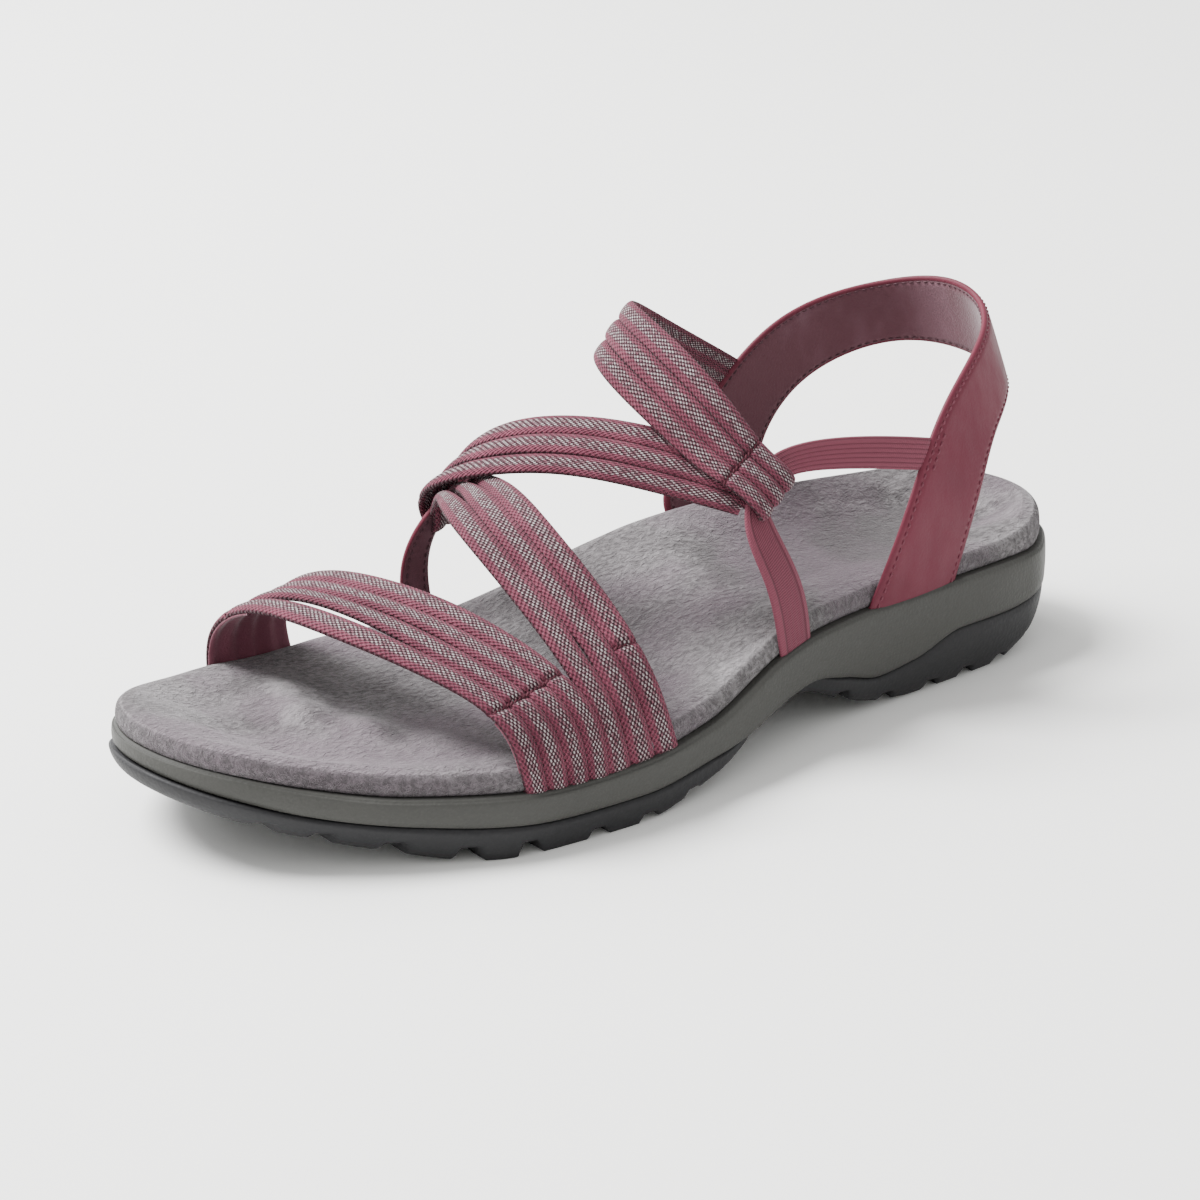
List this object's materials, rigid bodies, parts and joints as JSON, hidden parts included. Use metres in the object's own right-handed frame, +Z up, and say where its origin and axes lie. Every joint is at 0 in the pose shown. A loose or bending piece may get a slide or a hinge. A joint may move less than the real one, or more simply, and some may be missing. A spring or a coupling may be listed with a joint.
{
  "type": "orthopedic sandal",
  "caption": "Left walking sandal with a contoured suede footbed on a lugged sole, woven elastic straps crossing the foot and a stitched leather sling round the heel.",
  "frame": {"origin": "on the floor, under the middle of the bounding box", "axes": "+Z up, the toe points to -Y and the heel to +Y, the lateral (little toe) side is +X"},
  "size_m": [0.1, 0.256, 0.0943],
  "materials": {
    "outsole": "matte moulded rubber",
    "midsole": "matte moulded foam",
    "footbed": "brushed suede nap",
    "upper": "woven elastic with a pale flecked stripe",
    "heel_strap": "smooth leather, soft sheen",
    "elastic_webbing": "ribbed elastic",
    "side_strip": "smooth leather, soft sheen"
  },
  "bodies": {
    "root": {"outsole": "outsole", "midsole": "midsole", "footbed": "footbed", "upper": "upper", "heel_strap": "heel_strap", "elastic_webbing": "elastic_webbing", "side_strip": "side_strip"}
  },
  "joints": []
}
